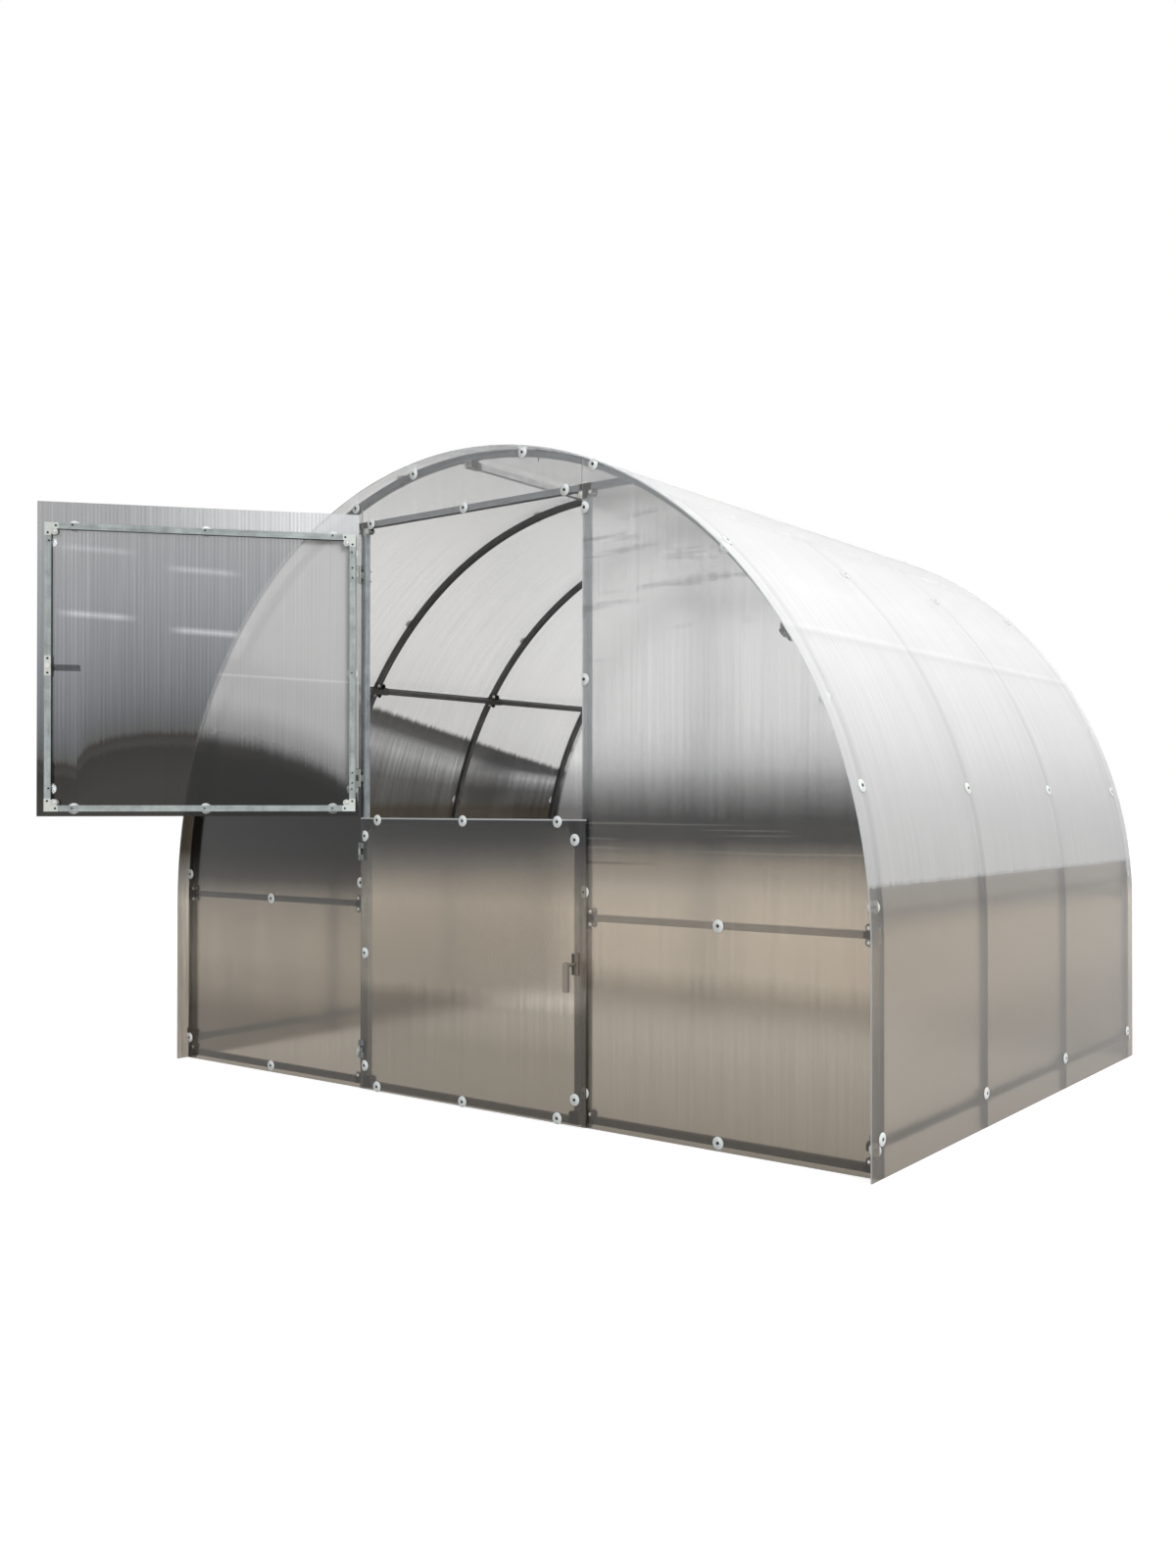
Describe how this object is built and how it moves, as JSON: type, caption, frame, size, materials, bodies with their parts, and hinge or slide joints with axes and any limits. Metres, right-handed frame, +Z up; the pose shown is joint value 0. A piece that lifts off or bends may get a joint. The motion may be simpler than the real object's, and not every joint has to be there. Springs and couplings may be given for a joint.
{
  "type": "greenhouse",
  "caption": "Walk-in tunnel greenhouse of square steel tube with a bent twin-wall sheet over round arches, flat end walls and a split door with an upper and a lower leaf on hinges.",
  "frame": {"origin": "on the ground at the middle of the tunnel's plan, half way between the end walls and between the legs", "axes": "+X across the tunnel, to the right as seen by someone facing the front wall; the front wall with the open leaf faces -Y; +Z up"},
  "size_m": [3, 2.8127, 2.0998],
  "materials": {
    "galvanised_tube": "galvanised, satin with a faint spangle",
    "zinc_plate": "bright zinc plated",
    "twin_wall_sheet": "clear twin-wall polycarbonate with fine flutes",
    "handle": "satin grey",
    "milky_washer": "milky translucent plastic",
    "dark_screw": "blackened steel"
  },
  "bodies": {
    "frame": {"front_arch": "galvanised_tube", "middle_arches": "galvanised_tube", "back_arch": "galvanised_tube", "ridge_purlin": "galvanised_tube", "side_purlins": "galvanised_tube", "base_rails": "galvanised_tube", "front_posts": "galvanised_tube", "front_header": "galvanised_tube", "front_mid_rails": "galvanised_tube", "front_bottom_rails": "galvanised_tube", "back_posts": "galvanised_tube", "back_header": "galvanised_tube", "back_mid_rails": "galvanised_tube", "back_bottom_rails": "galvanised_tube", "front_clamps": "zinc_plate", "back_clamps": "zinc_plate", "rail_clamps": "zinc_plate", "roof_sheet": "twin_wall_sheet", "front_left_sheet": "twin_wall_sheet", "front_right_sheet": "twin_wall_sheet", "front_gable_sheet": "twin_wall_sheet", "back_left_sheet": "twin_wall_sheet", "back_right_sheet": "twin_wall_sheet", "back_gable_sheet": "twin_wall_sheet", "post_hinges": "zinc_plate", "back_door_stiles": "galvanised_tube", "back_door_rails": "galvanised_tube", "back_door_brackets": "zinc_plate", "back_door_sheets": "twin_wall_sheet", "back_door_hinges": "zinc_plate", "back_door_latches": "handle"},
    "upper_door": {"upper_door_stiles": "galvanised_tube", "upper_door_rails": "galvanised_tube", "upper_door_brackets": "zinc_plate", "upper_door_sheet": "twin_wall_sheet", "upper_door_hinges": "zinc_plate", "upper_latch_plates": "zinc_plate"},
    "upper_handle": {"upper_handle": "handle"},
    "lower_door": {"lower_door_stiles": "galvanised_tube", "lower_door_rails": "galvanised_tube", "lower_door_brackets": "zinc_plate", "lower_door_sheet": "twin_wall_sheet", "lower_door_hinges": "zinc_plate", "lower_latch_plates": "zinc_plate"},
    "lower_handle": {"lower_handle": "handle"}
  },
  "joints": [
    {"name": "upper_door_swing", "type": "hinge", "parent": "frame", "child": "upper_door", "pos_m": [-0.497, -1.018, 1.405], "axis": [0, 0, -1], "range_deg": [-134, 26]},
    {"name": "lower_door_swing", "type": "hinge", "parent": "frame", "child": "lower_door", "pos_m": [-0.497, -1.018, 0.4725], "axis": [0, 0, -1], "range_deg": [0, 160]},
    {"name": "upper_handle_turn", "type": "hinge", "parent": "upper_door", "child": "upper_handle", "pos_m": [-1.16504, -1.72273, 1.42], "axis": [0.7193, -0.6947, 0], "range_deg": [-90, 0]},
    {"name": "lower_handle_turn", "type": "hinge", "parent": "lower_door", "child": "lower_handle", "pos_m": [0.474, -1.009, 0.49], "axis": [0, 1, 0], "range_deg": [0, 90]}
  ]
}
